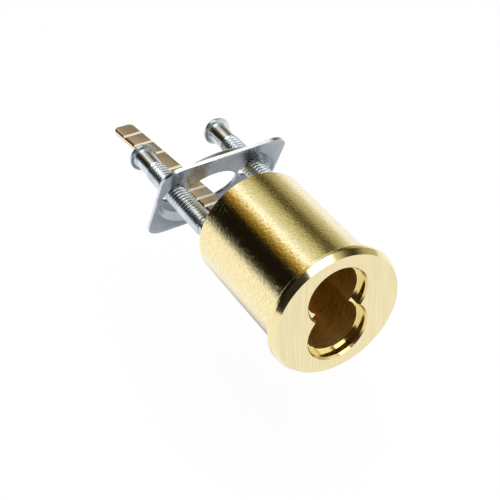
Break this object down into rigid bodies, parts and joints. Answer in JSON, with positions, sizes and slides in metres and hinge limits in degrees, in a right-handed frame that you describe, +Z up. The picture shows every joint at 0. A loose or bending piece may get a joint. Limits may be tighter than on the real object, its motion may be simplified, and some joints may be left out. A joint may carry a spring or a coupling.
{
  "type": "rim cylinder housing",
  "caption": "Rim cylinder housing for a figure-8 interchangeable core: flanged brass barrel, loose square clamp plate on break-off screws, scored flat tailpiece.",
  "frame": {"origin": "on the barrel's axis, in the plane where the back of the flange seats on the door", "axes": "+Y along the barrel from the front face to the tailpiece, +Z up along the core socket with the pin lobe up, +X to the right seen from the front"},
  "size_m": [0.034, 0.0955, 0.0334],
  "materials": {
    "satin_brass": "turned, satin",
    "plain_brass": "turned",
    "dull_brass": "drawn, dull",
    "spring_steel": "phosphate grey",
    "pin_steel": "ground",
    "bright_zinc": "bright zinc plating",
    "plate_zinc": "zinc plated sheet"
  },
  "bodies": {
    "base": {"housing": "satin_brass", "retaining_ring": "spring_steel", "screw_left": "bright_zinc", "screw_right": "bright_zinc"},
    "throw": {"driver": "plain_brass", "throw_pin_left": "pin_steel", "throw_pin_right": "pin_steel", "tailpiece_pin": "pin_steel"},
    "tail": {"tailpiece": "dull_brass"},
    "plate": {"clamp_plate": "plate_zinc"}
  },
  "joints": [
    {"name": "throw_turn", "type": "hinge", "parent": "base", "child": "throw", "pos_m": [0, 0.0368, -0.005], "axis": [0, 1, 0], "range_deg": [-6, 162]},
    {"name": "tailpiece_swing", "type": "hinge", "parent": "throw", "child": "tail", "pos_m": [0, 0.0368, -0.005], "axis": [0.1564, 0, 0.9877], "range_deg": [-10, 0]},
    {"name": "clamp_plate_slide", "type": "slide", "parent": "base", "child": "plate", "axis": [0, 1, 0], "range_m": [-0.0095, 0.0014]}
  ]
}
